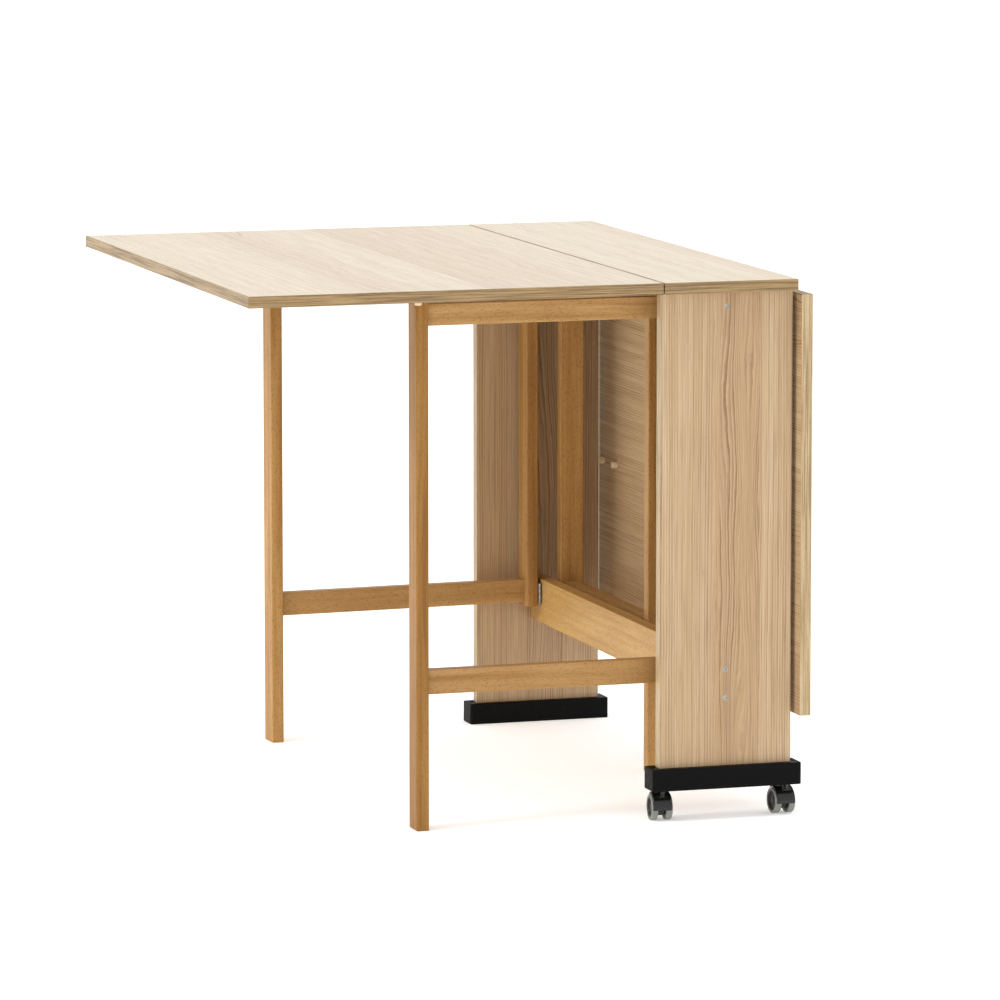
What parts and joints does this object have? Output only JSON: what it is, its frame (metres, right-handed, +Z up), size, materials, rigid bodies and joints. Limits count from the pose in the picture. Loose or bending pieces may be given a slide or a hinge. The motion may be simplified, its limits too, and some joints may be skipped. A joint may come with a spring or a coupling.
{
  "type": "drop leaf table",
  "caption": "Gateleg drop leaf table with a narrow fixed body, one leaf raised on two open gates, the other leaf hanging, and twin-wheel casters under one end.",
  "frame": {"origin": "middle of the footprint of the whole table as it stands, on the floor", "axes": "+Z up; +Y along the table away from the casters; -X towards the raised leaf"},
  "size_m": [0.8038, 0.902, 0.75],
  "materials": {
    "laminate": "satin pale ash-grain laminate on board",
    "beech": "clear-lacquered solid beech",
    "foot_black": "satin black",
    "hood_black": "glossy black moulding",
    "wheel_black": "black moulding",
    "tread_grey": "soft grey tread",
    "zinc_steel": "bright zinc plate",
    "peg_cream": "cream moulding"
  },
  "bodies": {
    "root": {"fixed_top": "laminate", "near_end_panel": "laminate", "far_end_panel": "laminate", "low_stretcher": "beech", "top_stretcher": "beech", "top_dowels": "beech", "near_foot": "foot_black", "far_foot": "foot_black", "panel_screws": "zinc_steel", "leaf_hinge_plates": "zinc_steel", "leaf_hinge_pins": "zinc_steel", "leaf_hinge_plate_screws": "zinc_steel", "gate_hinge_plates": "zinc_steel", "gate_hinge_pins": "zinc_steel", "gate_hinge_plate_screws": "zinc_steel", "caster_stems": "zinc_steel"},
    "left_leaf": {"left_leaf": "laminate", "left_leaf_hinge_flaps": "zinc_steel", "left_leaf_hinge_screws": "zinc_steel", "left_leaf_pegs": "peg_cream"},
    "right_leaf": {"right_leaf": "laminate", "right_leaf_hinge_flaps": "zinc_steel", "right_leaf_hinge_screws": "zinc_steel", "right_leaf_pegs": "peg_cream"},
    "left_near_gate": {"left_near_leg": "beech", "left_near_stile": "beech", "left_near_top_rail": "beech", "left_near_low_rail": "beech", "left_near_hinge_flaps": "zinc_steel", "left_near_hinge_screws": "zinc_steel"},
    "left_far_gate": {"left_far_leg": "beech", "left_far_stile": "beech", "left_far_top_rail": "beech", "left_far_low_rail": "beech", "left_far_hinge_flaps": "zinc_steel", "left_far_hinge_screws": "zinc_steel"},
    "right_near_gate": {"right_near_leg": "beech", "right_near_stile": "beech", "right_near_top_rail": "beech", "right_near_low_rail": "beech", "right_near_hinge_flaps": "zinc_steel", "right_near_hinge_screws": "zinc_steel"},
    "right_far_gate": {"right_far_leg": "beech", "right_far_stile": "beech", "right_far_top_rail": "beech", "right_far_low_rail": "beech", "right_far_hinge_flaps": "zinc_steel", "right_far_hinge_screws": "zinc_steel"},
    "left_caster": {"left_caster_hood": "hood_black", "left_caster_axle": "zinc_steel"},
    "left_caster_wheel_a": {"left_caster_wheel_a": "wheel_black", "left_caster_tread_a": "tread_grey"},
    "left_caster_wheel_b": {"left_caster_wheel_b": "wheel_black", "left_caster_tread_b": "tread_grey"},
    "right_caster": {"right_caster_hood": "hood_black", "right_caster_axle": "zinc_steel"},
    "right_caster_wheel_a": {"right_caster_wheel_a": "wheel_black", "right_caster_tread_a": "tread_grey"},
    "right_caster_wheel_b": {"right_caster_wheel_b": "wheel_black", "right_caster_tread_b": "tread_grey"}
  },
  "joints": [
    {"name": "left_leaf_hinge", "type": "hinge", "parent": "root", "child": "left_leaf", "pos_m": [0.18588, 0, 0.7295], "axis": [0, 1, 0], "range_deg": [0, 3.5]},
    {"name": "right_leaf_hinge", "type": "hinge", "parent": "root", "child": "right_leaf", "pos_m": [0.38138, 0, 0.7295], "axis": [0, -1, 0], "range_deg": [0, 90]},
    {"name": "left_near_gate_hinge", "type": "hinge", "parent": "root", "child": "left_near_gate", "pos_m": [0.27063, -0.362, 0.45], "axis": [0, 0, -1], "range_deg": [0, 84]},
    {"name": "left_far_gate_hinge", "type": "hinge", "parent": "root", "child": "left_far_gate", "pos_m": [0.27063, 0.362, 0.45], "axis": [0, 0, 1], "range_deg": [-3, 87]},
    {"name": "right_near_gate_hinge", "type": "hinge", "parent": "root", "child": "right_near_gate", "pos_m": [0.29663, -0.362, 0.45], "axis": [0, 0, -1], "range_deg": [0, 1.2]},
    {"name": "right_far_gate_hinge", "type": "hinge", "parent": "root", "child": "right_far_gate", "pos_m": [0.29663, 0.362, 0.45], "axis": [0, 0, 1], "range_deg": [0, 0.5]},
    {"name": "left_caster_swivel", "type": "hinge", "parent": "root", "child": "left_caster", "pos_m": [0.19362, -0.422, 0.03], "axis": [0, 0, 1], "continuous": true},
    {"name": "left_caster_wheel_a_spin", "type": "hinge", "parent": "left_caster", "child": "left_caster_wheel_a", "pos_m": [0.19467, -0.41206, 0.018], "axis": [0.9945, -0.1045, 0], "continuous": true},
    {"name": "left_caster_wheel_b_spin", "type": "hinge", "parent": "left_caster", "child": "left_caster_wheel_b", "pos_m": [0.19467, -0.41206, 0.018], "axis": [0.9945, -0.1045, 0], "continuous": true},
    {"name": "right_caster_swivel", "type": "hinge", "parent": "root", "child": "right_caster", "pos_m": [0.37362, -0.422, 0.03], "axis": [0, 0, 1], "continuous": true},
    {"name": "right_caster_wheel_a_spin", "type": "hinge", "parent": "right_caster", "child": "right_caster_wheel_a", "pos_m": [0.37328, -0.41201, 0.018], "axis": [0.9994, 0.0349, 0], "continuous": true},
    {"name": "right_caster_wheel_b_spin", "type": "hinge", "parent": "right_caster", "child": "right_caster_wheel_b", "pos_m": [0.37328, -0.41201, 0.018], "axis": [0.9994, 0.0349, 0], "continuous": true}
  ]
}
